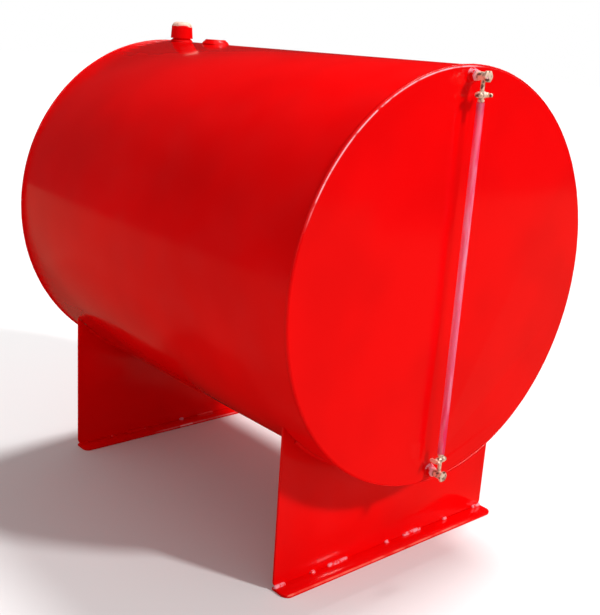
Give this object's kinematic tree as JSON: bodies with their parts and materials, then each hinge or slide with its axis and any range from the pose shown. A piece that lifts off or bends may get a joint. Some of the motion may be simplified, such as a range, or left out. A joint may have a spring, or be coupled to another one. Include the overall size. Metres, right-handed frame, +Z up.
{
  "type": "diesel fuel tank",
  "caption": "Horizontal cylindrical steel fuel tank with flat ends on two saddle legs, with a capped filler, a plugged bung and a hose level gauge between two plug cocks.",
  "frame": {"origin": "on the floor, under the middle of the whole outline", "axes": "+X across the tank, to the right seen from the gauge end; +Y along the tank, from the gauge end to the filler end; +Z up"},
  "size_m": [0.8031, 1.0276, 1.041],
  "materials": {
    "tank_paint": "glossy red enamel",
    "weld_paint": "glossy red enamel over weld beads",
    "leg_paint": "glossy red enamel, with short welds along the flat bar",
    "cap_paint": "red enamel, worn to bare metal on top",
    "gauge_brass": "dull cast and turned brass",
    "clear_hose": "clear flexible hose"
  },
  "bodies": {
    "tank": {"shell": "tank_paint", "front_end": "tank_paint", "rear_end": "tank_paint", "front_seam_weld": "weld_paint", "rear_seam_weld": "weld_paint", "shell_seam_weld": "weld_paint", "front_leg": "leg_paint", "rear_leg": "leg_paint", "front_leg_front_weld": "weld_paint", "front_leg_back_weld": "weld_paint", "rear_leg_front_weld": "weld_paint", "rear_leg_back_weld": "weld_paint", "front_foot": "leg_paint", "rear_foot": "leg_paint", "front_foot_welds": "weld_paint", "rear_foot_welds": "weld_paint", "filler_pipe": "tank_paint", "filler_weld": "weld_paint", "filler_cap": "cap_paint", "bung_socket": "tank_paint", "bung_weld": "weld_paint", "bung_plug": "tank_paint", "upper_boss": "tank_paint", "upper_boss_weld": "weld_paint", "upper_nipple": "gauge_brass", "upper_cock": "gauge_brass", "upper_plug": "gauge_brass", "upper_hose_tail": "gauge_brass", "lower_boss": "tank_paint", "lower_boss_weld": "weld_paint", "lower_nipple": "gauge_brass", "lower_cock": "gauge_brass", "lower_plug": "gauge_brass", "lower_hose_tail": "gauge_brass", "sight_hose": "clear_hose"},
    "upper_key": {"upper_key": "gauge_brass", "upper_key_nut": "gauge_brass"},
    "lower_key": {"lower_key": "gauge_brass", "lower_key_nut": "gauge_brass"}
  },
  "joints": [
    {"name": "upper_key_turn", "type": "hinge", "parent": "tank", "child": "upper_key", "pos_m": [-0.008, -0.50125, 0.9455], "axis": [1, 0, 0], "range_deg": [0, 90]},
    {"name": "lower_key_turn", "type": "hinge", "parent": "tank", "child": "lower_key", "pos_m": [-0.008, -0.50125, 0.249], "axis": [-1, 0, 0], "range_deg": [0, 90]}
  ]
}
